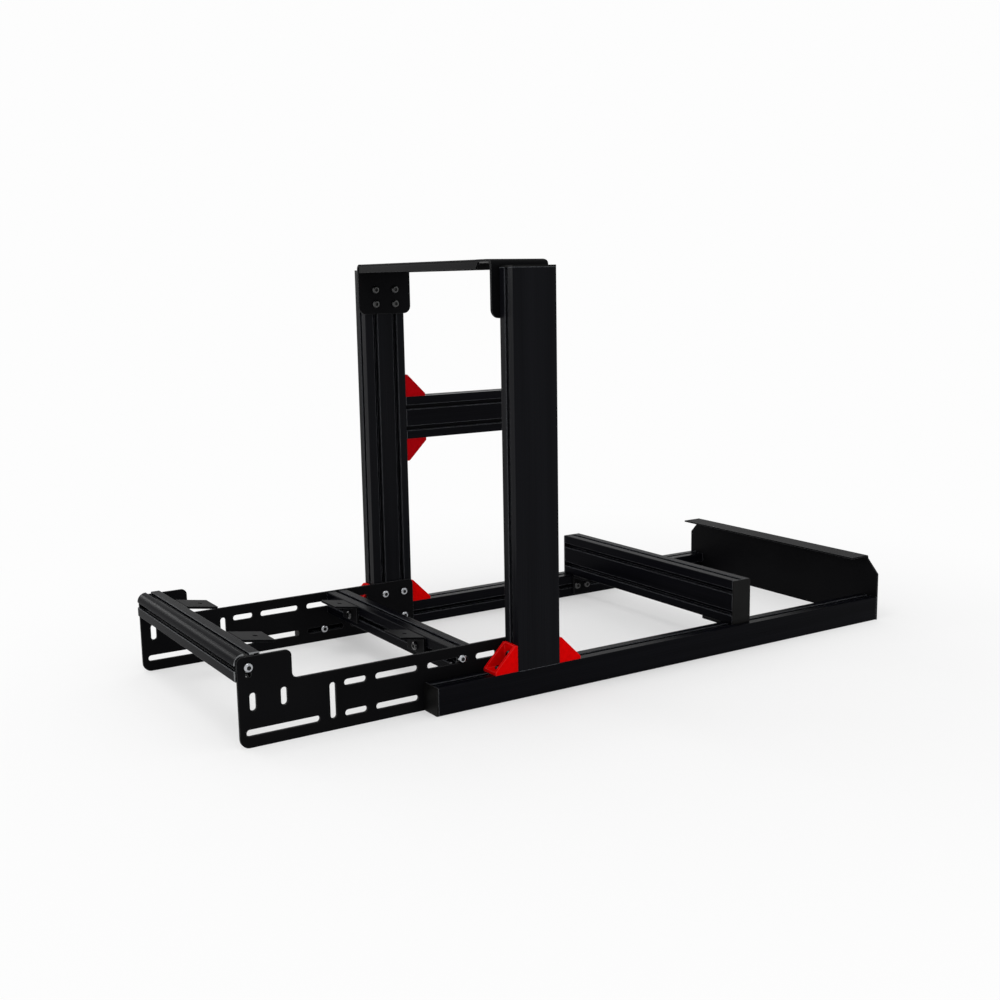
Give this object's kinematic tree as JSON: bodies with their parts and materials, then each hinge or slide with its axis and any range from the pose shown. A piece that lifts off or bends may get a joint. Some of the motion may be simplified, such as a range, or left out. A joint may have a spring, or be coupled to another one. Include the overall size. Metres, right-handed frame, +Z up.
{
  "type": "sim racing cockpit frame",
  "caption": "Open cockpit frame of black slotted profile on two base rails, with slotted seat plates, a raised wheel deck and a pedal crossbar.",
  "frame": {"origin": "middle of the whole frame's footprint, on the floor", "axes": "+X along the base rails towards the pedal end, +Y to the left of a driver who faces the pedals, +Z up"},
  "size_m": [1.28, 0.54, 0.69],
  "materials": {
    "black_profile": "black anodised, satin",
    "black_sheet_steel": "fine matt powder coat",
    "red_casting": "satin powder coat",
    "black_plastic": "moulded, matt"
  },
  "bodies": {
    "root": {"right_base_rail": "black_profile", "left_base_rail": "black_profile", "right_rail_cap": "black_plastic", "left_rail_cap": "black_plastic", "right_upright": "black_profile", "left_upright": "black_profile", "right_upright_cap": "black_plastic", "left_upright_cap": "black_plastic", "wheel_deck": "black_sheet_steel", "front_arm": "black_profile", "front_arm_cap": "black_plastic", "right_foot_bracket_rear": "red_casting", "right_foot_bracket_front": "red_casting", "left_foot_bracket_rear": "red_casting", "left_foot_bracket_front": "red_casting", "arm_bracket_upper": "red_casting", "arm_bracket_lower": "red_casting", "right_seat_plate": "black_sheet_steel", "left_seat_plate": "black_sheet_steel", "rear_seat_crossbar": "black_profile", "front_seat_crossbar": "black_profile", "rear_right_seat_tab": "black_sheet_steel", "rear_left_seat_tab": "black_sheet_steel", "front_right_seat_tab": "black_sheet_steel", "front_left_seat_tab": "black_sheet_steel", "pedal_crossbar": "black_profile", "right_pedal_cap": "black_plastic", "left_pedal_cap": "black_plastic", "right_pedal_bracket": "black_sheet_steel", "left_pedal_bracket": "black_sheet_steel", "pedal_back_plate": "black_sheet_steel"}
  },
  "joints": []
}
